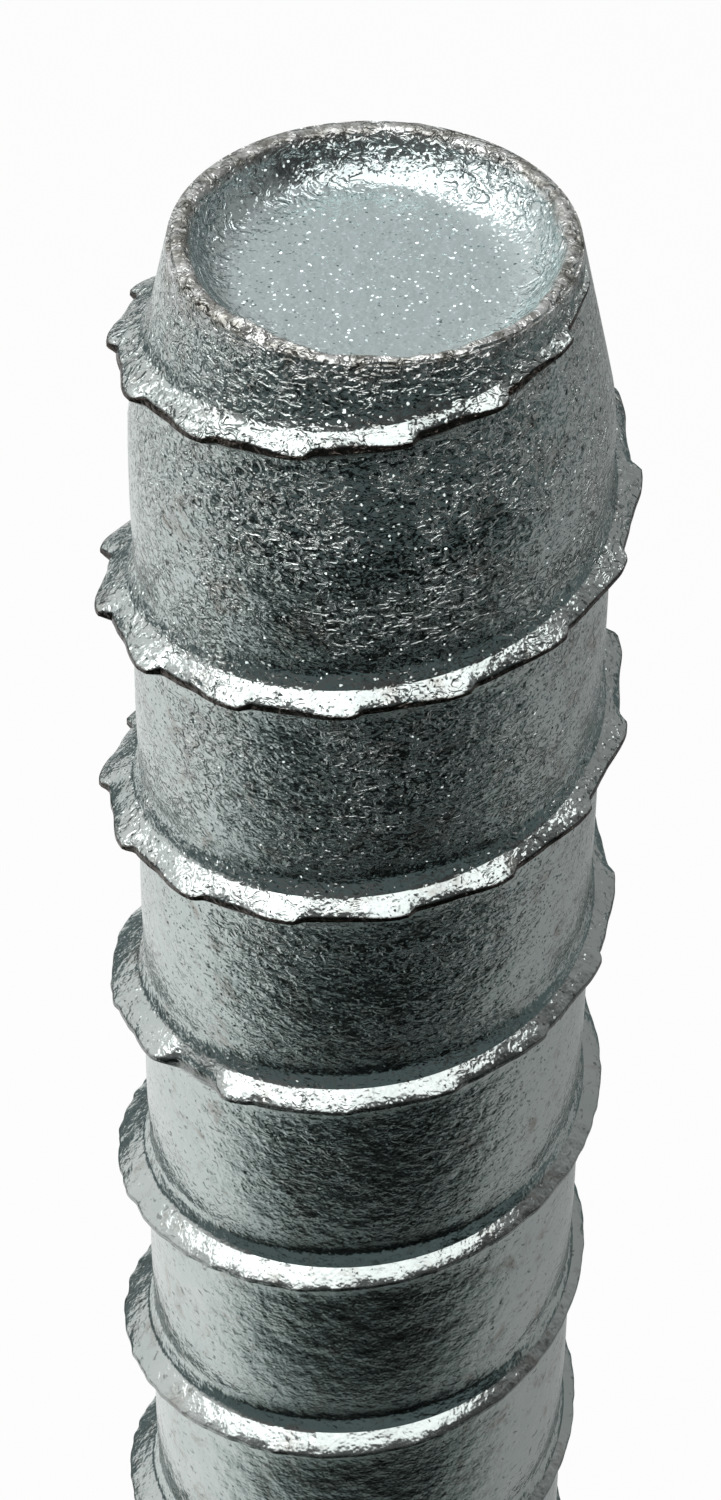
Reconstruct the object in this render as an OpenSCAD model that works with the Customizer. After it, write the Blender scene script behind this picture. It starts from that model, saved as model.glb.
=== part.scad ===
// Screw anchor for concrete, one piece of steel: hex washer head, plain shank and toothed thread.
// It stands on its head. The origin is the middle of the head's free face, and +Z runs to the tip.
// All sizes are in millimetres.

/* [Body] */
// Core diameter between the turns of the thread
root_d = 12.3; // [11:0.1:13]
// Diameter of the plain shank between the thread and the head
shank_d = 12.5; // [11.5:0.1:13.5]
// Length from the bearing face of the head to the tip
length = 76.2; // [70:0.1:150]
// Length of the threaded part, measured from the tip
thread_len = 59; // [30:0.5:66]

/* [Thread] */
// Distance along the axis between neighbouring turns
pitch = 7.05; // [5:0.05:9]
// Height of a plain crest above the core
thread_h = 0.85; // [0.5:0.05:1.1]
// Width of the flat on top of a full tooth
crest_w = 0.12; // [0.1:0.02:0.4]
// Width of each straight flank, along the axis
flank_w = 0.5; // [0.4:0.05:1]
// Width of the hollow foot below each flank, along the axis
foot_w = 0.36; // [0.2:0.02:0.6]
// Angle of the thread's first point, turned from +X towards +Y
thread_angle = -4; // [-180:1:180]
// Turns over which the thread rises from nothing near the tip
lead_in = 0.2; // [0.1:0.05:0.6]
// Turns over which the thread sinks away at the shank
run_out = 0.6; // [0.2:0.1:1.5]

/* [Teeth] */
// Cutting teeth in one turn
teeth_per_turn = 14.5; // [8:0.5:16]
// Depth of the notch between two teeth
tooth_h = 0.32; // [0.1:0.02:0.5]
// How far the top of a tooth stands above a plain crest
tooth_proud = 0.15; // [0:0.05:0.3]
// Turns with full teeth, counted from the tip
toothed_turns = 2.6; // [0.5:0.1:6]
// Turns over which the teeth fade into a plain crest
tooth_fade = 1.2; // [0.2:0.1:2]

/* [Tip] */
// Diameter of the rim at the tip
rim_d = 10.1; // [9:0.1:10.8]
// Length of the taper from the rim to the full core
taper_len = 5.2; // [3:0.1:9]
// Bevel on the outer edge of the rim
rim_bevel = 0.15; // [0.05:0.05:0.3]
// Width of the lip between the rim's outside and the dish
lip_w = 0.45; // [0.4:0.05:1.2]
// Depth of the dish in the tip
dish_depth = 1.2; // [0.5:0.05:1.8]
// Slope of the dish's wall, from the floor
dish_slope = 56; // [35:1:60]
// Length of the bend between the dish's floor and its wall
dish_bend = 0.9; // [0.2:0.1:0.9]
// Distance along the axis from the bevel to the thread's first point
thread_start = 0.28; // [0.2:0.02:0.8]
// How much further than one pitch the first turn drops behind the tip
lead_drop = 0.6; // [0:0.05:1]

/* [Head] */
// Width across the flats of the hex
hex_af = 19.05; // [15:0.05:24]
// Height of the hex, from its free face to the flange
hex_h = 9; // [6:0.1:12]
// How far the chamfer reaches inside the flats on the free face
chamfer_in = 0.7; // [0.3:0.1:1.5]
// Slope of the chamfer on the hex corners
chamfer_slope = 30; // [20:1:40]
// How far the flange reaches past the hex corners
flange_over = 1.7; // [1:0.1:4]
// Thickness of the flange where it meets the hex
flange_t = 2.5; // [2:0.1:4]
// Thickness of the flange at its rounded edge
flange_edge = 1.5; // [1:0.1:1.8]
// Radius of the fillet between the bearing face and the shank
neck_r = 0.8; // [0.3:0.1:1.5]

/* [Hidden] */
zinc = "#a9b3b3";

// Heights above the head's free face
bearing_z = hex_h + flange_t;
tip_z = bearing_z + length;
thread_end_z = tip_z - thread_len;
// The core runs this far down inside the shank
core_socket = 1;
core_end_z = thread_end_z - core_socket;
taper_end_z = tip_z - taper_len;

root_r = root_d / 2;
shank_r = shank_d / 2;
rim_r = rim_d / 2;
dish_r = rim_r - lip_w;
hex_r = hex_af / 2 / cos(30);
flange_r = hex_r + flange_over;

// Heights at even steps along one tooth, which rises sharply on its side towards the tip
tooth_form = [0, 1, 0.8, 0.35, 0, 0];
steps_per_turn = len(tooth_form) * teeth_per_turn;
// The lead drop is spread over the second half of the first turn
lead_drop_from = 0.5;
// Share of a ridge's height that its hollow feet take up
foot_share = 0.2;
// Share of the room below the bevel that the first part of the thread may fill
lead_fill = 0.8;
// Least distance between the taper's end and a ridge
ring_gap = 0.12;

ridge_w = crest_w / 2 + flank_w + foot_w;
last_step = floor(steps_per_turn * (thread_len - rim_bevel - thread_start - lead_drop - ridge_w) / pitch);

arc_step = 15;
revolve_fn = 96;
hex_sides = 6;
// The hex reaches this far into the flange, and cutters this far past the solid
overlap = 1;

function clamp01(x) = min(max(x, 0), 1);
function ease(x) = let (t = clamp01(x)) t * t * (3 - 2 * t);
function arc(center, r, from, to) =
    let (n = ceil(abs(to - from) / arc_step))
    [for (k = [0 : n]) let (a = from + (to - from) * k / n) center + r * [cos(a), sin(a)]];

// Radius of the core at a height
function core_r(z) = rim_r + (root_r - rim_r) * clamp01((tip_z - z) / taper_len);

// Height of the crest above the head's free face, at a step along the thread
function crest_z(i) =
    let (turn = i / steps_per_turn)
    tip_z - rim_bevel - thread_start - pitch * turn
        - lead_drop * ease((turn - lead_drop_from) / (1 - lead_drop_from));

// Share of the teeth at a step along the thread: all of them near the tip, none on the plain turns
function bite(i) = 1 - clamp01((i / steps_per_turn - toothed_turns) / tooth_fade);

// Height of the whole ridge above the core, before the notches are cut
function ridge_h(i) =
    clamp01(i / steps_per_turn / lead_in)
        * clamp01((last_step - i) / steps_per_turn / run_out)
        * (thread_h + bite(i) * tooth_proud);

// Share of the ridge's height that a notch cuts away
function notch(i) =
    bite(i) * tooth_h * (1 - tooth_form[i % len(tooth_form)]) / (thread_h + bite(i) * tooth_proud);

// Section through the ridge as [radius, height] points from its upper foot to its lower one
// A notch cuts the crest back, and the flanks keep their slope
function ridge(i) =
    let (
        z = crest_z(i),
        foot_h = foot_share * ridge_h(i),
        h = ridge_h(i) * (1 - notch(i)),
        fit = min(1, lead_fill * (tip_z - rim_bevel - z) / ridge_w),
        crest = fit * (crest_w / 2 + flank_w * notch(i) / (1 - foot_share)),
        flank = fit * (crest_w / 2 + flank_w),
        foot = flank + fit * foot_w
    )
    [
        [core_r(z + foot), z + foot],
        [core_r(z + flank) + foot_h, z + flank],
        [core_r(z + crest) + h, z + crest],
        [core_r(z - crest) + h, z - crest],
        [core_r(z - flank) + foot_h, z - flank],
        [core_r(z - foot), z - foot]
    ];

// Outline of the threaded part in one half-plane, from the rim down
function column(a) =
    let (
        turns = [for (i = a; i <= last_step; i = i + steps_per_turn) ridge(i)],
        bevel_z = tip_z - rim_bevel
    )
    [
        [rim_r - rim_bevel, tip_z],
        [core_r(bevel_z), bevel_z],
        for (k = [0 : len(turns)])
            let (
                above = k == 0 ? bevel_z : turns[k - 1][5].y,
                below = k == len(turns) ? core_end_z : turns[k][0].y,
                clear = taper_end_z < above - ring_gap && taper_end_z > below + ring_gap
            )
            each concat(clear ? [[root_r, taper_end_z]] : [], k < len(turns) ? turns[k] : []),
        [root_r, core_end_z]
    ];

columns = [for (a = [0 : steps_per_turn - 1]) column(a)];
// Index of each column's first point in the list of all points
first = [for (a = 0, n = 0; a < len(columns); n = n + len(columns[a]), a = a + 1) n];

// True where the next point down lies on column q, and not on column p
function next_on_q(p, q, i, j) = j < len(q) - 1 && (i == len(p) - 1 || q[j + 1].y >= p[i + 1].y);

// Strip of triangles between two neighbouring columns, from the top down
function strip(a, b) =
    let (p = columns[a], q = columns[b])
    [
        for (
            i = 0, j = 0;
            i < len(p) - 1 || j < len(q) - 1;
            on_q = next_on_q(p, q, i, j), i = i + (on_q ? 0 : 1), j = j + (on_q ? 1 : 0)
        )
            next_on_q(p, q, i, j)
                ? [first[a] + i, first[b] + j + 1, first[b] + j]
                : [first[a] + i, first[a] + i + 1, first[b] + j]
    ];

// Core and thread as one closed form with flat ends
module threaded_core() {
    points = [
        for (a = [0 : len(columns) - 1])
            let (turned = thread_angle - 360 * a / len(columns))
            for (p = columns[a]) [p.x * cos(turned), p.x * sin(turned), p.y]
    ];
    rim = [for (a = [0 : len(columns) - 1]) first[a]];
    base = [for (a = [len(columns) - 1 : -1 : 0]) first[a] + len(columns[a]) - 1];
    wall = [for (a = [0 : len(columns) - 1]) each strip(a, (a + 1) % len(columns))];
    polyhedron(points, concat([rim, base], wall));
}

// Shallow dish in the tip, with a flat floor and a bent foot to its wall
module dish() {
    run = dish_depth / tan(dish_slope);
    corner = [dish_r - run, tip_z - dish_depth];
    bend_in = corner - [dish_bend, 0];
    bend_out = corner + dish_bend * [cos(dish_slope), sin(dish_slope)];
    bend_steps = 5;
    bend = [
        for (k = [0 : bend_steps])
            let (t = k / bend_steps)
            (1 - t) * (1 - t) * bend_in + 2 * t * (1 - t) * corner + t * t * bend_out
    ];
    brink = [dish_r + overlap / tan(dish_slope), tip_z + overlap];
    rotate_extrude($fn = revolve_fn)
        polygon(concat([[0, corner.y]], bend, [brink, [0, brink.y]]));
}

// Hex of the head with its corners chamfered at the free face
module hex() {
    face_r = hex_af / 2 - chamfer_in;
    reach = hex_r + overlap;
    top_z = hex_h + flange_t / 2;
    intersection() {
        cylinder(h = top_z, r = hex_r, $fn = hex_sides);
        rotate_extrude($fn = revolve_fn)
            polygon([
                [0, 0],
                [face_r, 0],
                [reach, (reach - face_r) * tan(chamfer_slope)],
                [reach, top_z],
                [0, top_z]
            ]);
    }
}

// Washer flange, neck fillet and plain shank as one turned profile
module flange_and_shank() {
    edge_r = flange_edge / 2;
    edge = [flange_r - edge_r, bearing_z - edge_r];
    neck = [shank_r + neck_r, bearing_z + neck_r];
    rotate_extrude($fn = revolve_fn)
        polygon(concat(
            [[0, hex_h], [hex_af / 2 - chamfer_in, hex_h]],
            arc(edge, edge_r, -90, 90),
            arc(neck, neck_r, 270, 180),
            [[shank_r, thread_end_z], [0, thread_end_z]]
        ));
}

module screw_anchor() {
    color(zinc)
        difference() {
            union() {
                hex();
                flange_and_shank();
                threaded_core();
            }
            dish();
        }
}

screw_anchor();
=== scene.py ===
"""Screw anchor for concrete in zinc-plated steel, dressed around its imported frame.

The anchor stands on its hex head and the camera looks down on its dished tip.
"""

import math

import bmesh
import bpy
from mathutils import Matrix, Vector, noise


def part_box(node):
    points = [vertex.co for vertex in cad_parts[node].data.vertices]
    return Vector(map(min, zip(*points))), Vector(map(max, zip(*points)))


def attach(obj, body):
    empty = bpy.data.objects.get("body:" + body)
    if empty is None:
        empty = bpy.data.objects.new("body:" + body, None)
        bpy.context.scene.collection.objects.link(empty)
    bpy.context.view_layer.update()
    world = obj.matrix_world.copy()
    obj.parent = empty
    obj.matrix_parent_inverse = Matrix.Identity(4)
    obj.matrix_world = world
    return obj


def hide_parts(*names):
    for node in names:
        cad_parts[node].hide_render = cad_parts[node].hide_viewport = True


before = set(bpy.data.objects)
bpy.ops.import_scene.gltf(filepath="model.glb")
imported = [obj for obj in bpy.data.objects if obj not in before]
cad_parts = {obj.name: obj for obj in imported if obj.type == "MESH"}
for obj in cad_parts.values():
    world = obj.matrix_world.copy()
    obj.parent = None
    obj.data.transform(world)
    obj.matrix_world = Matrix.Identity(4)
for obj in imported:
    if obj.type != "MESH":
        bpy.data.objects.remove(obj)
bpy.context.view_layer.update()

MM = 0.001
TURN = 2 * math.pi

# Sizes that the frame gives
low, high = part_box("screw_anchor")
TIP_Z = high.z
FLANGE_R = (high.x - low.x) / 2

# Body
ROOT_R = 6.15 * MM
SHANK_R = 6.25 * MM
THREAD_LEN = 59 * MM
THREAD_END_Z = TIP_Z - THREAD_LEN

# Thread. Places along it are counted in turns from its start at the tip
PITCH = 7.05 * MM
THREAD_H = 0.8 * MM
CREST_W = 0.1 * MM
THREAD_ANGLE = math.radians(-4)
# The flanks are steep on the toothed turns and lean more on the plain ones
FLANK_SLOPE = math.radians(62)
PLAIN_LEAN = math.radians(5)
LEAN_FROM = 2
LEAN_TURNS = 2
LEAST_FLANK_W = 0.05 * MM
# The foot is hollow and climbs this share of the ridge, and the land dips towards it
FOOT_SHARE = 0.12
FOOT_W = 0.42 * MM
LAND_DIP = 0.08 * MM
LAND_DIP_FROM = 0.3
# Room that half of a usual ridge takes along the axis
FLANK_W = 0.4 * MM
RIDGE_W = CREST_W / 2 + FLANK_W + FOOT_W

# The thread rises fast behind the rim, where it is low and squeezed, and sinks slowly at the shank
LEAD_IN = 0.04
LEAD_FIRST = 0.5
LEAD_RISE = 0.5
LEAD_FILL = 0.8
LEAST_FILL = 0.05
LEAD_LOW = 0.1 * MM
LEAD_LOW_TURNS = 0.9
LEAD_CUT = 1.2
LEAD_CUT_TURNS = 0.4
LEAD_DROP = 0.6 * MM
LEAD_DROP_FROM = 0.5
RUN_OUT = 0.6

# The thread is rolled a little off the core's axis, and its helix climbs unevenly round each turn
OFF_CENTRE = 0.32 * MM
OFF_ANGLE = math.radians(125)
OFF_RISE = 0.05 * MM
OFF_TURNS = 0.9
OFF_LATE = 0.2
SWAY = 0.2 * MM
SWAY_ANGLE = math.radians(150)
SWAY_TURNS = 0.5
# The lower turns are less far off the axis, and they are rubbed down on one side
RUB_FROM = 3.9
RUB_TURNS = 0.6
RUB_ANGLE = math.radians(-15)
RUB_DEPTH = 0.33 * MM
CENTRED_SHARE = 0.4
CENTRED_TURNS = 1.2

# Teeth, with the shares of a tooth's length where it rises and falls
TEETH_PER_TURN = 14.5
TOOTH_H = 0.32 * MM
TOOTH_PROUD = 0.15 * MM
TOOTH_RISE_FROM = 0.02
TOOTH_RISE = 0.1
TOOTH_FALL_FROM = 0.2
TOOTH_FALL = 0.5
TOOTH_UNEVEN = 0.25
TOOTH_TOP_WEAR = 0.06 * MM
TOOTHED_TURNS = 2.6
TOOTH_FADE = 1.2
# One tooth stands higher than its neighbours
PROUD_H = 0.22 * MM
PROUD_TURN = 0.925
PROUD_SLOPE = 0.018
PROUD_FLAT = 0.5

# Wear of the crest: coarse and fine notches, counted per turn, and one chip
NOTCH_DEPTH = 0.05 * MM
NOTCHES = 62
FINE_NOTCH_DEPTH = 0.04 * MM
FINE_NOTCHES = 130
PLAIN_RAGGED = 1.1
TOOTHED_CALM = 0.7
CHIP_DEPTH = 0.3 * MM
CHIP_TURN = 3.364
CHIP_SLOPE = 0.021
CHIP_FLAT = 0.6
# The deepest cut is a share of the ridge, and a cut crest spreads over a share of its flank
MOST_CUT = 0.8
CREST_SPREAD = 0.45
# Share of the brown wear that is left on the crest of the plain turns
PLAIN_WEAR = 0.4

# Tip
RIM_R = 5.05 * MM
RIM_BEVEL = 0.15 * MM
TAPER_LEN = 5.2 * MM
TAPER_BLEND = 0.15
THREAD_START = 0.22 * MM
LAST_TURN = (THREAD_LEN - RIM_BEVEL - THREAD_START - LEAD_DROP - RIDGE_W) / PITCH

# Lip, thinner at the front and worn at the front left
LIP_W = 0.45 * MM
LIP_SINK = 0.06 * MM
LIP_BULGE = 0.6
LIP_FRONT_THIN = 0.17 * MM
LIP_WORN_ANGLE = math.radians(-128)
LIP_WORN_REACH = math.radians(48)
LIP_WORN_WIDE = 0.14 * MM
LIP_WORN_DEPTH = 0.2 * MM
LIP_WORN_SHARE = 0.8
# Its section from the outer edge inwards, as shares of its width and drops in millimetres
LIP_SECTION = (
    (0.05, 0.1), (0.15, 0.03), (0.33, 0.0), (0.55, -0.02), (0.76, 0.0), (0.9, 0.03), (0.98, 0.07),
)
# Waves of its width, its height and its worn stretch, as heights, lengths and seeds
LIP_WIDTH_WAVES = ((0.09 * MM, 2.2 * MM, 4.3), (0.05 * MM, 0.7 * MM, 7.9))
LIP_BUMPS = ((0.07 * MM, 1.4 * MM, 1.7), (0.05 * MM, 0.45 * MM, 6.1))
LIP_CHIPS = ((0.12 * MM, 0.5 * MM, 2.9),)

# Dish, with a floor that lies a little off the rim's centre
DISH_DEPTH = 1.2 * MM
DISH_EDGE_DEPTH = 0.14 * MM
DISH_FLOOR_R = 3.0 * MM
DISH_FLOOR_SHARES = (0.75, 0.5, 0.2)
DISH_SHIFT = 0.25 * MM
DISH_SHIFT_ANGLE = math.radians(130)
# Its wall slopes most gently at the back right
WALL_BEND = 2.0
WALL_MORE_BEND = 1.5
WALL_SOFT_ANGLE = math.radians(45)
WALL_SOFT_REACH = math.radians(70)
WALL_RINGS = 14
# Share of the smooth finish that is lost up the wall, and the shares of the radius where it goes
DISH_FADE = 0.4
DISH_FADE_FROM = 0.62
DISH_FADE_LEN = 0.25

# Head
HEX_FLAT_R = 19.05 / 2 * MM
HEX_CORNER_R = HEX_FLAT_R / math.cos(math.radians(30))
# The forging die leaves the hex corners slightly round
CORNER_SHARE = 0.994
HEX_H = 9 * MM
CHAMFER_IN = 0.7 * MM
CHAMFER_SLOPE = math.radians(30)
FACE_R = HEX_FLAT_R - CHAMFER_IN
FLANGE_T = 2.5 * MM
FLANGE_EDGE = 1.5 * MM
NECK_R = 0.8 * MM
SHOULDER_LEN = 1.0 * MM
BEARING_Z = HEX_H + FLANGE_T

# Columns of the mesh round one turn, with one on each hex corner
COLUMNS = 390
MERGE_DIST = 0.002 * MM
SHARP_ANGLE = math.radians(32)


def clamp01(x):
    return min(max(x, 0.0), 1.0)


def ease(x):
    t = clamp01(x)
    return t * t * (3 - 2 * t)


def wobble(place, seed):
    """Smooth noise from -1 to 1 along one line, the same on every run."""
    return noise.noise(Vector((place, seed, 0.37 * seed)))


def spot(s, middle, slope, flat):
    """One at a place along the thread and zero away from it: level for flat slopes, then falling over one."""
    return ease(1 + flat - abs(s - middle) / slope)


def core_r(z):
    """Radius of the core, with a soft end to the taper."""
    t = max((TIP_Z - z) / TAPER_LEN, 0.0)
    over = clamp01((t - 1 + TAPER_BLEND) / (2 * TAPER_BLEND))
    share = min(t - TAPER_BLEND * over * over, 1.0)
    return RIM_R + (ROOT_R - RIM_R) * share


def thread_turn(s):
    """Angle round the axis, s turns along the thread."""
    return THREAD_ANGLE - TURN * s


def crest_z(s):
    """Height of the crest, s turns along the thread."""
    drop = LEAD_DROP * ease((s - LEAD_DROP_FROM) / (1 - LEAD_DROP_FROM))
    sway = SWAY * ease(s / SWAY_TURNS) * (1 + math.cos(thread_turn(s) - SWAY_ANGLE))
    return TIP_Z - RIM_BEVEL - THREAD_START - PITCH * s - drop + sway


def tooth_form(t):
    """Height of a tooth from 0 to 1, at share t of its length: a sharp rise, a round top and a slow fall."""
    rise = ease((t - TOOTH_RISE_FROM) / TOOTH_RISE)
    fall = ease((t - TOOTH_FALL_FROM) / TOOTH_FALL)
    return rise * (1 - fall)


def ridge_full(s):
    """Height of the whole ridge above the core, before its crest is cut."""
    first = LEAD_FIRST + (1 - LEAD_FIRST) * ease(s / LEAD_RISE)
    swell = clamp01(s / LEAD_IN) * first * clamp01((LAST_TURN - s) / RUN_OUT)
    angle = thread_turn(s)
    centred = 1 - CENTRED_SHARE * ease((s - RUB_FROM) / CENTRED_TURNS)
    drift = OFF_RISE + centred * OFF_CENTRE * math.cos(angle - OFF_ANGLE)
    off = ease(s / OFF_TURNS - OFF_LATE) * drift
    low_start = LEAD_LOW * (1 - ease(s / LEAD_LOW_TURNS))
    rub = RUB_DEPTH * ease((s - RUB_FROM) / RUB_TURNS) * max(math.cos(angle - RUB_ANGLE), 0.0) ** 2
    proud = PROUD_H * spot(s, PROUD_TURN, PROUD_SLOPE, PROUD_FLAT)
    return swell * (THREAD_H + TOOTH_PROUD * tooth_bite(s) + off - low_start - rub + proud)


def tooth_bite(s):
    """Share of the teeth's depth: all of it near the tip, none on the plain turns."""
    return 1 - clamp01((s - TOOTHED_TURNS) / TOOTH_FADE)


def crest_cut(s):
    """How far the crest is cut back by the teeth, wear and chips."""
    bite = tooth_bite(s)
    number, t = divmod(s * TEETH_PER_TURN, 1)
    depth = TOOTH_H * (1 + TOOTH_UNEVEN * wobble(number * 1.7, 3.1))
    top = TOOTH_TOP_WEAR * (1 + wobble(number * 2.3, 8.4))
    tooth = top + (depth - top) * (1 - tooth_form(t))
    coarse = NOTCH_DEPTH * (1 + wobble(s * NOTCHES, 5.2))
    fine = FINE_NOTCH_DEPTH * (1 + wobble(s * FINE_NOTCHES, 9.6))
    chip = CHIP_DEPTH * spot(s, CHIP_TURN, CHIP_SLOPE, CHIP_FLAT)
    return bite * tooth + (PLAIN_RAGGED - TOOTHED_CALM * bite) * (coarse + fine) + chip


# Rows of the mesh across one pitch, from the land above the ridge to the land below it
LAND_SHARES = (0.0, 0.3, 0.6, 0.88)
FOOT_SHARES = (1.0, 0.75, 0.5, 0.25)
FLANK_SHARES = (1.0, 0.92, 0.5, 0.07)
UNDER_FOOT_SHARES = (1.0, 0.5)
UNDER_FLANK_SHARES = (1.0, 0.4)
EDGE_SHARE = 0.75
ROWS = (
    [("land", x, 1) for x in LAND_SHARES]
    + [("foot", x, 1) for x in FOOT_SHARES]
    + [("flank", x, 1) for x in FLANK_SHARES]
    + [("crest", EDGE_SHARE, 1), ("crest", 0.0, 1), ("crest", EDGE_SHARE, -1)]
    + [("flank", x, -1) for x in reversed(UNDER_FLANK_SHARES)]
    + [("foot", x, -1) for x in reversed(UNDER_FOOT_SHARES)]
    + [("land", x, -1) for x in reversed(LAND_SHARES)]
)


def ridge_size(s):
    """Heights of the whole ridge and of its cut crest, and its three half widths: crest, flank and foot."""
    full = ridge_full(s)
    deeper = 1 + LEAD_CUT * (1 - ease(s / LEAD_CUT_TURNS))
    cut = min(deeper * crest_cut(s) / (THREAD_H + TOOTH_PROUD * tooth_bite(s)), MOST_CUT)
    slope = FLANK_SLOPE - PLAIN_LEAN * ease((s - LEAN_FROM) / LEAN_TURNS)
    wide = max(full * (1 - FOOT_SHARE) / math.tan(slope), LEAST_FLANK_W)
    fit = min(1.0, max(LEAD_FILL * (TIP_Z - RIM_BEVEL - crest_z(s)) / RIDGE_W, LEAST_FILL))
    crest = fit * (CREST_W / 2 + CREST_SPREAD * wide * cut)
    flank = fit * (CREST_W / 2 + wide)
    return full, full * (1 - cut), crest, flank, flank + fit * FOOT_W


def surface(row, s):
    """Radius and height of the thread's surface in one row, s turns along the thread."""
    kind, x, side = ROWS[row]
    full, h, crest, flank, foot = ridge_size(s)
    z = crest_z(s)
    dip = LAND_DIP * clamp01(s - LAND_DIP_FROM) if side > 0 else 0.0
    if kind == "land":
        next_foot = ridge_size(s - side)[4]
        middle = (z + side * foot + crest_z(s - side) - side * next_foot) / 2
        place = middle + (z + side * foot - middle) * x
        return core_r(place) - dip * x * x, place
    if kind == "foot":
        place = z + side * (flank + (foot - flank) * x)
        return core_r(place) - dip * x * x + FOOT_SHARE * full * (1 - x) ** 2, place
    if kind == "flank":
        place = z + side * (crest + (flank - crest) * x)
        return core_r(place) + h + (FOOT_SHARE * full - h) * x, place
    place = z + side * crest * x
    return core_r(place) + h, place


def add_thread(bm):
    """Core and thread: a grid wrapped round the axis, with each of its rows along the helix."""
    crest_of = bm.verts.layers.float.new("crest")
    flank_of = bm.verts.layers.float.new("flank")
    turns_above = 2
    turns = math.ceil(THREAD_LEN / PITCH) + turns_above + 1
    first_s = THREAD_ANGLE / TURN - turns_above
    rows = len(ROWS) - 1
    bmesh.ops.create_grid(bm, x_segments=COLUMNS, y_segments=rows * turns, size=0.5)
    for v in bm.verts:
        column = round((v.co.x + 0.5) * COLUMNS)
        turn, row = divmod(round((v.co.y + 0.5) * rows * turns), rows)
        angle = -TURN * column / COLUMNS
        s = first_s + turn + column / COLUMNS
        r, z = surface(row, s)
        if THREAD_END_Z < z < TIP_Z - RIM_BEVEL:
            kind = ROWS[row][0]
            v[crest_of] = PLAIN_WEAR + (1 - PLAIN_WEAR) * tooth_bite(s) if kind == "crest" else 0.0
            v[flank_of] = 1.0 if kind in ("flank", "foot") else 0.0
        else:
            z = min(max(z, THREAD_END_Z), TIP_Z - RIM_BEVEL)
            r = core_r(z)
        v.co = (r * math.cos(angle), r * math.sin(angle), z)
    bmesh.ops.remove_doubles(bm, verts=bm.verts, dist=MERGE_DIST)


def end_loop(bm, upper):
    """Open edges at the upper or the lower end."""
    middle = (TIP_Z + THREAD_END_Z) / 2
    return [e for e in bm.edges if e.is_boundary and (e.verts[0].co.z > middle) == upper]


def draw_rings(bm, loop, rings):
    """Extrudes an open end through rings and closes it. A ring gives a radius and a height at an angle."""
    for ring in rings:
        made = bmesh.ops.extrude_edge_only(bm, edges=loop)["geom"]
        for v in made:
            if isinstance(v, bmesh.types.BMVert):
                angle = math.atan2(v.co.y, v.co.x)
                r, z = ring(angle)
                v.co = (r * math.cos(angle), r * math.sin(angle), z)
        loop = [e for e in made if isinstance(e, bmesh.types.BMEdge)]
    bmesh.ops.edgeloop_fill(bm, edges=loop)


def arc(center_r, center_z, radius, start, end, steps):
    """Ring places along an arc, as radius and height."""
    places = []
    for k in range(steps + 1):
        a = math.radians(start + (end - start) * k / steps)
        places.append((center_r + radius * math.cos(a), center_z + radius * math.sin(a)))
    return places


def fixed(places):
    """Rings that are plain circles."""
    return [lambda angle, r=r, z=z: (r, z) for r, z in places]


def lip_wear(angle):
    """How far the lip's outer edge is worn down, from 0 to 1: most at the front left."""
    away = abs(math.remainder(angle - LIP_WORN_ANGLE, TURN)) / LIP_WORN_REACH
    return ease(1 - away)


def round_waves(angle, waves):
    """Sum of smooth noises round the rim, each given by its height, its length and its seed."""
    total = 0.0
    for height, length, seed in waves:
        reach = RIM_R / length
        total += height * noise.noise(Vector((reach * math.cos(angle), reach * math.sin(angle), seed)))
    return total


def lip_width(angle):
    """Width of the lip: thinner at the front, except where it is worn, and uneven."""
    thin = LIP_FRONT_THIN * max(-math.sin(angle), 0.0) ** 2 - LIP_WORN_WIDE * lip_wear(angle)
    return LIP_W + round_waves(angle, LIP_WIDTH_WAVES) - thin


def tip_rings():
    """Rings over the rim's bevel and lip and down into the bowl of the dish."""

    def lip(share, drop):
        def ring(angle):
            bump = round_waves(angle, LIP_BUMPS)
            chipped = LIP_WORN_DEPTH + round_waves(angle, LIP_CHIPS)
            worn = chipped * lip_wear(angle) * max(1 - share / LIP_WORN_SHARE, 0)
            r = RIM_R - share * lip_width(angle) + LIP_BULGE * bump * (1 - share)
            return r, TIP_Z - (drop + LIP_SINK + bump + worn)
        return ring

    def wall(share):
        def ring(angle):
            brink = RIM_R - lip_width(angle)
            foot = DISH_FLOOR_R + DISH_SHIFT * math.cos(angle - DISH_SHIFT_ANGLE)
            r = brink + (foot - brink) * share
            away = abs(math.remainder(angle - WALL_SOFT_ANGLE, TURN)) / WALL_SOFT_REACH
            bend = WALL_BEND + WALL_MORE_BEND * ease(away)
            depth = DISH_EDGE_DEPTH + (DISH_DEPTH - DISH_EDGE_DEPTH) * (1 - (1 - share) ** bend)
            return r, TIP_Z - depth
        return ring

    rings = [lip(share, drop * MM) for share, drop in LIP_SECTION]
    rings += [wall((k + 1) / WALL_RINGS) for k in range(WALL_RINGS)]
    floor_z = TIP_Z - DISH_DEPTH
    rings += fixed([(DISH_FLOOR_R * share, floor_z) for share in DISH_FLOOR_SHARES])
    return rings


def hex_r(angle):
    """Radius of the hex outline, with its corners slightly rounded by the forging die."""
    sixth = TURN / 6
    off = math.remainder(angle - sixth / 2, sixth)
    return min(HEX_FLAT_R / math.cos(off), CORNER_SHARE * HEX_CORNER_R)


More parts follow.
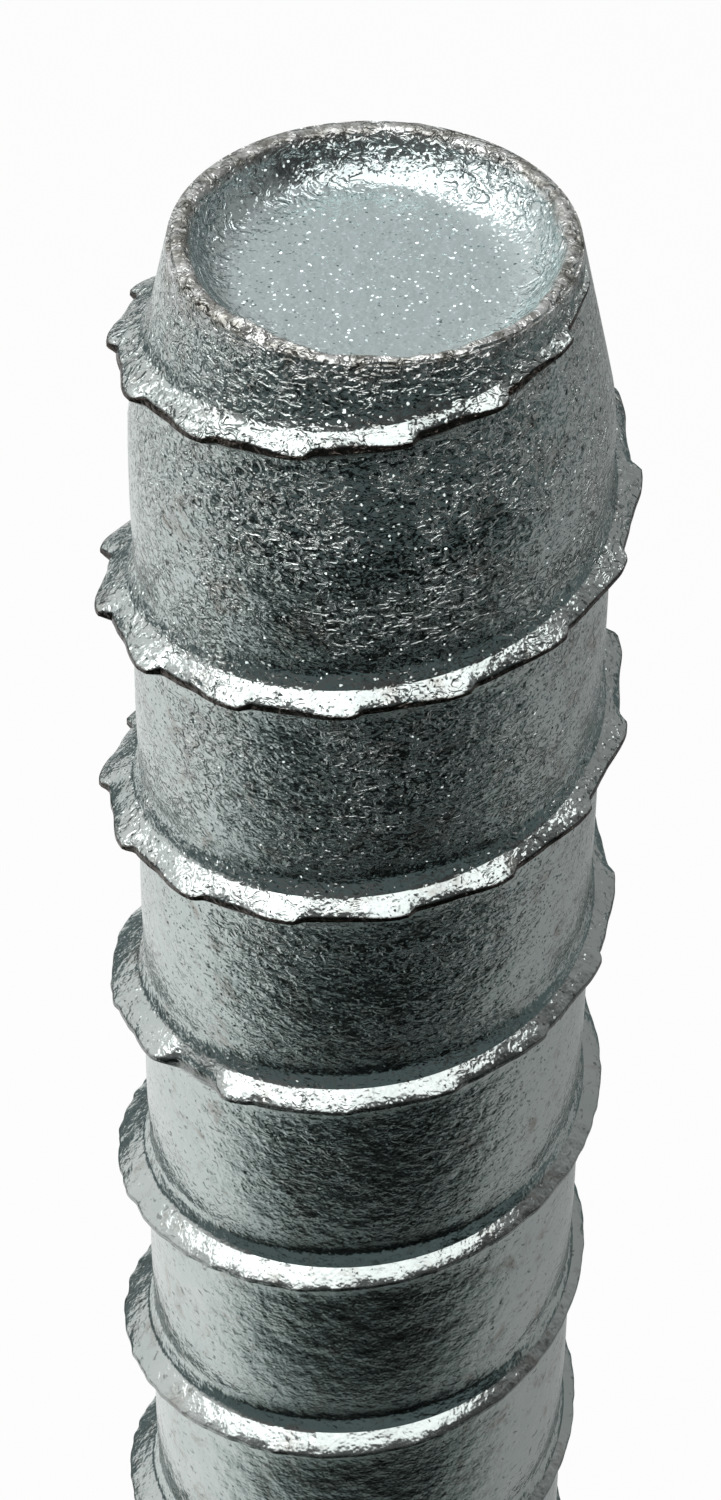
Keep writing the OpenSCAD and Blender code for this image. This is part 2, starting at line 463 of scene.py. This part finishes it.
def head_rings():
    """Rings down the plain shank, round the washer flange and over the hex."""
    edge_r = FLANGE_EDGE / 2
    hub_r = HEX_FLAT_R - CHAMFER_IN
    cone_z = BEARING_Z - FLANGE_EDGE

    def hex_root(angle):
        r = hex_r(angle)
        share = (r - hub_r) / (FLANGE_R - edge_r - hub_r)
        return r, HEX_H + (cone_z - HEX_H) * share

    def chamfer_edge(angle):
        r = hex_r(angle)
        return r, (r - FACE_R) * math.tan(CHAMFER_SLOPE)

    steps = 4
    shank = [
        (ROOT_R + (SHANK_R - ROOT_R) * ease(k / steps), THREAD_END_Z - SHOULDER_LEN * k / steps)
        for k in range(1, steps + 1)
    ]
    neck = arc(SHANK_R + NECK_R, BEARING_Z + NECK_R, NECK_R, 180, 270, 6)
    edge = arc(FLANGE_R - edge_r, BEARING_Z - edge_r, edge_r, 90, -90, 10)
    face = [(FACE_R, 0.0), (0.6 * FACE_R, 0.0), (0.2 * FACE_R, 0.0)]
    return fixed(shank + neck + edge) + [hex_root, chamfer_edge] + fixed(face)


def mark_tip(bm):
    """Marks the dish and its lip for the finish."""
    dish_of = bm.verts.layers.float.new("dish")
    lip_of = bm.verts.layers.float.new("lip")
    margin = 0.02 * MM
    widest = RIM_R + 0.1 * MM
    dish_low = TIP_Z - 1.5 * DISH_DEPTH
    lip_low = TIP_Z - 2.6 * RIM_BEVEL
    for v in bm.verts:
        r = math.hypot(v.co.x, v.co.y)
        brink = RIM_R - lip_width(math.atan2(v.co.y, v.co.x))
        if v.co.z > dish_low and r < brink - margin:
            v[dish_of] = 1 - DISH_FADE * ease((r / brink - DISH_FADE_FROM) / DISH_FADE_LEN)
        elif v.co.z > lip_low and r < widest:
            v[lip_of] = 1.0


def make_anchor():
    bm = bmesh.new()
    add_thread(bm)
    draw_rings(bm, end_loop(bm, True), tip_rings())
    draw_rings(bm, end_loop(bm, False), head_rings())
    bmesh.ops.recalc_face_normals(bm, faces=bm.faces)
    for e in bm.edges:
        e.smooth = e.calc_face_angle(0.0) < SHARP_ANGLE
    for f in bm.faces:
        f.smooth = True
    mark_tip(bm)
    mesh = bpy.data.meshes.new("screw_anchor_body")
    bm.to_mesh(mesh)
    bm.free()
    piece = bpy.data.objects.new("screw_anchor_body", mesh)
    bpy.context.scene.collection.objects.link(piece)
    return piece


def srgb(code):
    """Linear colour from an sRGB hex code."""
    parts = [int(code[i:i + 2], 16) / 255 for i in (1, 3, 5)]
    return [c / 12.92 if c <= 0.04045 else ((c + 0.055) / 1.055) ** 2.4 for c in parts] + [1.0]


def add_node(tree, kind, links=None, **settings):
    """Adds a node with its settings. links maps an input to the socket or the value that feeds it."""
    made = tree.nodes.new(kind)
    for name, value in settings.items():
        setattr(made, name, value)
    for key, value in (links or {}).items():
        if isinstance(value, bpy.types.NodeSocket):
            tree.links.new(value, made.inputs[key])
        else:
            made.inputs[key].default_value = value
    return made


def new_material(name):
    material = bpy.data.materials.new(name)
    material.use_nodes = True
    tree = material.node_tree
    tree.nodes.clear()
    return material, tree


def per_metre(millimetres):
    """Texture scale for features of a real size."""
    return 1 / (millimetres * MM)


def zinc_plated_steel():
    """Zinc electroplate on thread-rolled steel: a cool grey metal whose small facets glint one by one.

    The rolling dies drag the grain round the body, the crests wear down to brown steel, and the
    pressed dish is smooth with a few grains standing up.
    """
    material, tree = new_material("zinc_plated_rolled_steel")
    place = add_node(tree, "ShaderNodeTexCoord").outputs["Object"]
    crest = add_node(tree, "ShaderNodeAttribute", attribute_name="crest").outputs["Fac"]
    dish = add_node(tree, "ShaderNodeAttribute", attribute_name="dish").outputs["Fac"]
    lip = add_node(tree, "ShaderNodeAttribute", attribute_name="lip").outputs["Fac"]
    flank = add_node(tree, "ShaderNodeAttribute", attribute_name="flank").outputs["Fac"]

    # Patches where the plate lies thicker or thinner
    patch = add_node(
        tree,
        "ShaderNodeTexNoise",
        {"Vector": place, "Scale": per_metre(1.7), "Detail": 5.0, "Roughness": 0.62},
    ).outputs["Fac"]
    # Pressed places are calm: the dish most, the lip and the flanks less
    pressed = add_node(tree, "ShaderNodeMath", {0: flank, 1: 0.3, 2: dish}, operation="MULTIPLY_ADD")
    pressed = add_node(
        tree, "ShaderNodeMath", {0: lip, 1: 0.35, 2: pressed.outputs[0]}, operation="MULTIPLY_ADD"
    )
    calm = add_node(
        tree,
        "ShaderNodeMapRange",
        {"Value": pressed.outputs[0], "From Min": 0.0, "From Max": 1.0, "To Min": 1.0, "To Max": 0.08},
    )

    # Creases of the plate, drawn out round the body by the rolling dies. Real ones are finer than this
    drawn = add_node(tree, "ShaderNodeVectorMath", {0: place, 1: (1, 1, 1.5)}, operation="MULTIPLY")
    wrinkle = add_node(
        tree,
        "ShaderNodeTexNoise",
        {
            "Vector": drawn.outputs[0],
            "Scale": per_metre(0.42),
            "Detail": 2.0,
            "Roughness": 0.6,
            "Offset": 1.0,
            "Gain": 2.0,
            "Distortion": 0.4,
        },
        noise_type="RIDGED_MULTIFRACTAL",
        normalize=False,
    )
    crease = add_node(
        tree,
        "ShaderNodeMapRange",
        {"Value": wrinkle.outputs["Fac"], "From Min": 0.7, "From Max": 1.5},
        interpolation_type="SMOOTHSTEP",
    )
    roughly = add_node(
        tree,
        "ShaderNodeMapRange",
        {"Value": patch, "From Min": 0.42, "From Max": 0.62, "To Min": 0.2, "To Max": 1.0},
    )
    roughly = add_node(
        tree, "ShaderNodeMath", {0: roughly.outputs[0], 1: calm.outputs[0]}, operation="MULTIPLY"
    )
    # The tip is the roughest, and the plain turns are the smoothest
    height = add_node(tree, "ShaderNodeSeparateXYZ", {0: place}).outputs["Z"]
    near_tip = add_node(
        tree, "ShaderNodeMapRange", {"Value": height, "From Min": TIP_Z - 42 * MM, "From Max": TIP_Z}
    )
    near_tip = add_node(tree, "ShaderNodeMath", {0: near_tip.outputs[0], 1: 2.6}, operation="POWER")
    near_tip = add_node(
        tree, "ShaderNodeMath", {0: near_tip.outputs[0], 1: 2.2, 2: 0.1}, operation="MULTIPLY_ADD"
    )
    roughly = add_node(
        tree, "ShaderNodeMath", {0: roughly.outputs[0], 1: near_tip.outputs[0]}, operation="MULTIPLY"
    )

    # Facets on the wrinkles, most of them nearly flat and a few steep enough to flash
    bent = add_node(
        tree,
        "ShaderNodeVectorMath",
        {0: wrinkle.outputs["Color"], 1: (0.1 * MM, 0.1 * MM, 0.1 * MM), 2: drawn.outputs[0]},
        operation="MULTIPLY_ADD",
    )
    facet = add_node(
        tree, "ShaderNodeTexVoronoi", {"Vector": bent.outputs[0], "Scale": per_metre(0.15), "Randomness": 1.0}
    )
    chance = add_node(tree, "ShaderNodeTexWhiteNoise", {"Vector": facet.outputs["Position"]}).outputs["Value"]
    steep = add_node(tree, "ShaderNodeMath", {0: chance, 1: 3.5}, operation="POWER")
    steep = add_node(
        tree, "ShaderNodeMath", {0: steep.outputs[0], 1: roughly.outputs[0]}, operation="MULTIPLY"
    )
    steep = add_node(tree, "ShaderNodeMath", {0: steep.outputs[0], 1: 0.9}, operation="MULTIPLY")
    lean = add_node(
        tree, "ShaderNodeVectorMath", {0: facet.outputs["Color"], 1: (0.5, 0.5, 0.5)}, operation="SUBTRACT"
    )
    lean = add_node(
        tree, "ShaderNodeVectorMath", {0: lean.outputs[0], "Scale": steep.outputs[0]}, operation="SCALE"
    )

    # Single grains that stand up from the plate and glint
    grain = add_node(
        tree, "ShaderNodeTexVoronoi", {"Vector": place, "Scale": per_metre(0.058), "Randomness": 1.0}
    )
    rare = add_node(tree, "ShaderNodeTexWhiteNoise", {"Vector": grain.outputs["Position"]}).outputs["Value"]
    proud = add_node(tree, "ShaderNodeMath", {0: rare, 1: 8.0}, operation="POWER")
    shown = add_node(tree, "ShaderNodeMath", {0: near_tip.outputs[0], 1: 1.0}, operation="MINIMUM")
    proud = add_node(
        tree, "ShaderNodeMath", {0: proud.outputs[0], 1: shown.outputs[0]}, operation="MULTIPLY"
    )
    glint = add_node(
        tree,
        "ShaderNodeVectorMath",
        {0: grain.outputs["Color"], 1: (1.5, 1.5, 2.2), 2: (-0.85, -0.95, -0.7)},
        operation="MULTIPLY_ADD",
    )
    glint = add_node(
        tree, "ShaderNodeVectorMath", {0: glint.outputs[0], "Scale": proud.outputs[0]}, operation="SCALE"
    )

    # Slow dents of the pressed and rolled surface
    dent = add_node(
        tree,
        "ShaderNodeTexNoise",
        {"Vector": place, "Scale": per_metre(0.7), "Detail": 3.0, "Roughness": 0.6},
    ).outputs["Fac"]
    bump = add_node(tree, "ShaderNodeBump", {"Height": dent, "Strength": 1.0, "Distance": 0.06 * MM})
    bump = add_node(
        tree,
        "ShaderNodeBump",
        {
            "Height": crease.outputs[0],
            "Strength": roughly.outputs[0],
            "Distance": 0.05 * MM,
            "Normal": bump.outputs["Normal"],
        },
    )
    tilted = add_node(
        tree, "ShaderNodeVectorMath", {0: bump.outputs["Normal"], 1: lean.outputs[0]}, operation="ADD"
    )
    tilted = add_node(
        tree, "ShaderNodeVectorMath", {0: tilted.outputs[0], 1: glint.outputs[0]}, operation="ADD"
    )
    tilted = add_node(tree, "ShaderNodeVectorMath", {0: tilted.outputs[0]}, operation="NORMALIZE")

    # Colour: cool zinc in patches, brown stains, dark pits, a rubbed grey lip and brown worn crests
    zinc = add_node(
        tree,
        "ShaderNodeMix",
        {"Factor": patch, "A": srgb("#b9c5c3"), "B": srgb("#d6dad7")},
        data_type="RGBA",
    )
    stain = add_node(
        tree,
        "ShaderNodeTexNoise",
        {"Vector": place, "Scale": per_metre(1.1), "Detail": 6.0, "Roughness": 0.7, "Distortion": 0.4},
    ).outputs["Fac"]
    stain = add_node(
        tree,
        "ShaderNodeMapRange",
        {"Value": stain, "From Min": 0.54, "From Max": 0.72, "To Min": 0.0, "To Max": 0.75},
    )
    stain = add_node(tree, "ShaderNodeMath", {0: stain.outputs[0], 1: calm.outputs[0]}, operation="MULTIPLY")
    body = add_node(
        tree,
        "ShaderNodeMix",
        {"Factor": stain.outputs[0], "A": zinc.outputs["Result"], "B": srgb("#8c7f76")},
        data_type="RGBA",
    )
    # The pits are drawn out like the creases
    pit = add_node(
        tree,
        "ShaderNodeTexNoise",
        {"Vector": drawn.outputs[0], "Scale": per_metre(0.24), "Detail": 1.0, "Distortion": 0.6},
    ).outputs["Fac"]
    pit = add_node(
        tree,
        "ShaderNodeMapRange",
        {"Value": pit, "From Min": 0.64, "From Max": 0.74, "To Min": 0.0, "To Max": 0.7},
    )
    pit = add_node(tree, "ShaderNodeMath", {0: pit.outputs[0], 1: calm.outputs[0]}, operation="MULTIPLY")
    body = add_node(
        tree,
        "ShaderNodeMix",
        {"Factor": pit.outputs[0], "A": body.outputs["Result"], "B": srgb("#4b4f4d")},
        data_type="RGBA",
    )
    body = add_node(
        tree,
        "ShaderNodeMix",
        {"Factor": dish, "A": body.outputs["Result"], "B": srgb("#cddbdc")},
        data_type="RGBA",
    )
    rubbed = add_node(
        tree,
        "ShaderNodeTexNoise",
        {"Vector": place, "Scale": per_metre(0.6), "Detail": 4.0, "Roughness": 0.65},
    ).outputs["Fac"]
    rubbed = add_node(tree, "ShaderNodeMapRange", {"Value": rubbed, "From Min": 0.4, "From Max": 0.6})
    rubbed = add_node(
        tree,
        "ShaderNodeMix",
        {"Factor": rubbed.outputs[0], "A": srgb("#96958f"), "B": srgb("#dfe1df")},
        data_type="RGBA",
    )
    edged = add_node(
        tree,
        "ShaderNodeMix",
        {"Factor": lip, "A": body.outputs["Result"], "B": rubbed.outputs["Result"]},
        data_type="RGBA",
    )
    colour = add_node(
        tree,
        "ShaderNodeMix",
        {"Factor": crest, "A": edged.outputs["Result"], "B": srgb("#4a443f")},
        data_type="RGBA",
    )
    worn = add_node(tree, "ShaderNodeMath", {0: lip, 1: crest}, operation="MAXIMUM")
    roughness = add_node(
        tree,
        "ShaderNodeMapRange",
        {"Value": worn.outputs[0], "From Min": 0.0, "From Max": 1.0, "To Min": 0.17, "To Max": 0.26},
    )
    shader = add_node(
        tree,
        "ShaderNodeBsdfPrincipled",
        {
            "Base Color": colour.outputs["Result"],
            "Metallic": 1.0,
            "Roughness": roughness.outputs[0],
            "Normal": tilted.outputs[0],
        },
    )
    add_node(tree, "ShaderNodeOutputMaterial", {"Surface": shader.outputs["BSDF"]})
    return material


def floor_material():
    """Matt white studio paper. It shows white to the camera and keeps a faint shadow."""
    material, tree = new_material("white_paper")
    rays = add_node(tree, "ShaderNodeLightPath").outputs
    seen = add_node(
        tree, "ShaderNodeMath", {0: rays["Is Camera Ray"], 1: rays["Is Glossy Ray"]}, operation="MAXIMUM"
    )
    seen = add_node(
        tree, "ShaderNodeMath", {0: seen.outputs[0], 1: rays["Is Transmission Ray"]}, operation="MAXIMUM"
    )
    share = add_node(tree, "ShaderNodeMath", {0: seen.outputs[0], 1: 0.93}, operation="MULTIPLY")
    paper = add_node(tree, "ShaderNodeBsdfDiffuse", {"Color": srgb("#f4f4f4")})
    glow = add_node(tree, "ShaderNodeEmission", {"Color": (1, 1, 1, 1), "Strength": 1.0})
    mixed = add_node(
        tree,
        "ShaderNodeMixShader",
        {0: share.outputs[0], 1: paper.outputs[0], 2: glow.outputs[0]},
    )
    add_node(tree, "ShaderNodeOutputMaterial", {"Surface": mixed.outputs[0]})
    return material


def add_stage_mesh(name, bm, material):
    mesh = bpy.data.meshes.new(name)
    bm.to_mesh(mesh)
    bm.free()
    mesh.materials.append(material)
    obj = bpy.data.objects.new(name, mesh)
    bpy.context.scene.collection.objects.link(obj)
    return obj


def make_floor():
    bm = bmesh.new()
    bmesh.ops.create_circle(bm, cap_ends=True, segments=96, radius=4.0)
    floor = add_stage_mesh("floor", bm, floor_material())
    # The metal shows the studio's own floor level instead, which falls off to dark in front
    floor.visible_glossy = False


def floor_level(tree, way):
    """Brightness of the floor in a direction: white paper that ends in front, and grey on the right."""
    apart = add_node(tree, "ShaderNodeSeparateXYZ", {0: way})
    down = add_node(tree, "ShaderNodeMath", {0: apart.outputs["Z"], 1: -1.0}, operation="MULTIPLY")
    down = add_node(tree, "ShaderNodeMath", {0: down.outputs[0], 1: 0.05}, operation="MAXIMUM")
    # Where the ray meets the floor, as a share of the height that it falls
    ahead = add_node(
        tree, "ShaderNodeMath", {0: apart.outputs["Y"], 1: down.outputs[0]}, operation="DIVIDE"
    )
    aside = add_node(
        tree, "ShaderNodeMath", {0: apart.outputs["X"], 1: down.outputs[0]}, operation="DIVIDE"
    )
    # Brightness at places ahead of the anchor, from the near end of the paper to the far one
    near, far = -1.2, 0.4
    share = add_node(
        tree, "ShaderNodeMapRange", {"Value": ahead.outputs[0], "From Min": near, "From Max": far}
    )
    ramp = add_node(tree, "ShaderNodeValToRGB", {0: share.outputs[0]})
    stops = ramp.color_ramp.elements
    levels = (
        (near, 0.008), (far, 0.9), (-0.9, 0.03), (-0.75, 0.07), (-0.63, 0.16), (-0.5, 0.34),
        (-0.3, 0.64), (-0.15, 0.82), (0.0, 0.9),
    )
    for number, (place, level) in enumerate(levels):
        position = (place - near) / (far - near)
        stop = stops[number] if number < 2 else stops.new(position)
        stop.position = position
        cool = 0.2 * (1 - level)
        stop.color = (level * (1 - cool), level, level * (1 - 0.2 * cool), 1)
    side = add_node(
        tree,
        "ShaderNodeMapRange",
        {"Value": aside.outputs[0], "From Min": -0.25, "From Max": 0.35, "To Min": 1.0, "To Max": 0.4},
    )
    level = add_node(
        tree, "ShaderNodeVectorMath", {0: ramp.outputs[0], "Scale": side.outputs[0]}, operation="SCALE"
    )
    # The anchor darkens the floor close around itself
    below = add_node(
        tree, "ShaderNodeMapRange", {"Value": apart.outputs["Z"], "From Min": -0.97, "From Max": -0.85}
    )
    shaded = add_node(
        tree,
        "ShaderNodeMix",
        {"Factor": below.outputs[0], "A": srgb("#3a4141"), "B": level.outputs[0]},
        data_type="RGBA",
    )
    return shaded.outputs["Result"]


def add_softbox(name, place, aim, size, power):
    lamp = bpy.data.lights.new(name, "AREA")
    lamp.shape = "RECTANGLE"
    lamp.size, lamp.size_y = size
    lamp.energy = power
    obj = bpy.data.objects.new(name, lamp)
    obj.location = place
    obj.rotation_mode = "QUATERNION"
    obj.rotation_quaternion = (Vector(aim) - Vector(place)).to_track_quat("-Z", "Y")
    bpy.context.scene.collection.objects.link(obj)


def set_world():
    """Studio as the metal shows it: the floor, a grey band at the horizon, and paler on the upper left."""
    world = bpy.data.worlds.new("studio")
    bpy.context.scene.world = world
    world.use_nodes = True
    tree = world.node_tree
    tree.nodes.clear()
    way = add_node(tree, "ShaderNodeTexCoord").outputs["Generated"]
    apart = add_node(tree, "ShaderNodeSeparateXYZ", {0: way})
    upper = add_node(
        tree,
        "ShaderNodeMapRange",
        {"Value": apart.outputs["X"], "From Min": -0.5, "From Max": 0.6, "To Min": 0.85, "To Max": 0.34},
    )
    behind = add_node(
        tree,
        "ShaderNodeMapRange",
        {"Value": apart.outputs["Y"], "From Min": -0.5, "From Max": 0.2, "To Min": 0.15, "To Max": 1.0},
    )
    upper = add_node(
        tree, "ShaderNodeMath", {0: upper.outputs[0], 1: behind.outputs[0]}, operation="MULTIPLY"
    )
    height = add_node(
        tree, "ShaderNodeMapRange", {"Value": apart.outputs["Z"], "From Min": 0.02, "From Max": 0.11}
    )
    far = add_node(
        tree, "ShaderNodeMapRange", {"Value": apart.outputs["Z"], "From Min": -0.38, "From Max": -0.26}
    )
    level = add_node(
        tree,
        "ShaderNodeMix",
        {"Factor": far.outputs[0], "A": floor_level(tree, way), "B": srgb("#5a6667")},
        data_type="RGBA",
    )
    level = add_node(
        tree,
        "ShaderNodeMix",
        {"Factor": height.outputs[0], "A": level.outputs["Result"], "B": upper.outputs[0]},
        data_type="RGBA",
    )
    room = add_node(tree, "ShaderNodeBackground", {"Color": level.outputs["Result"], "Strength": 1.0})
    add_node(tree, "ShaderNodeOutputWorld", {"Surface": room.outputs[0]})


def add_camera():
    """Camera of the photograph, found from the rim's ellipse and the spacing of the turns."""
    pitch = math.radians(41.88)
    yaw = math.radians(0.456)
    roll = math.radians(0.71)
    forward = Vector((
        math.sin(yaw) * math.cos(pitch),
        math.cos(yaw) * math.cos(pitch),
        -math.sin(pitch),
    ))
    right = Vector((math.cos(yaw), -math.sin(yaw), 0))
    up = right.cross(forward)
    right, up = (
        math.cos(roll) * right + math.sin(roll) * up,
        math.cos(roll) * up - math.sin(roll) * right,
    )
    data = bpy.data.cameras.new("camera")
    data.sensor_width = 36
    data.lens = 114.6
    data.clip_start = 1 * MM
    camera = bpy.data.objects.new("camera", data)
    from_tip = Vector((-0.95, -94.7, 68.1)) * MM
    place = from_tip + Vector((0, 0, TIP_Z))
    turned = Matrix((right, up, -forward)).transposed().to_4x4()
    camera.matrix_world = Matrix.Translation(place) @ turned
    bpy.context.scene.collection.objects.link(camera)
    bpy.context.scene.camera = camera


anchor = make_anchor()
anchor.data.materials.append(zinc_plated_steel())
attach(anchor, "root")
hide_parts("screw_anchor")

make_floor()
set_world()
add_softbox(
    "left_softbox", place=(-0.36, 0.02, TIP_Z + 0.42), aim=(0, 0, TIP_Z), size=(0.42, 0.32), power=0.6
)
add_softbox(
    "top_softbox", place=(-0.08, -0.13, TIP_Z + 0.4), aim=(-0.08, -0.13, 0), size=(0.56, 0.44), power=1.11
)
add_camera()
bpy.context.scene.view_settings.view_transform = "Standard"
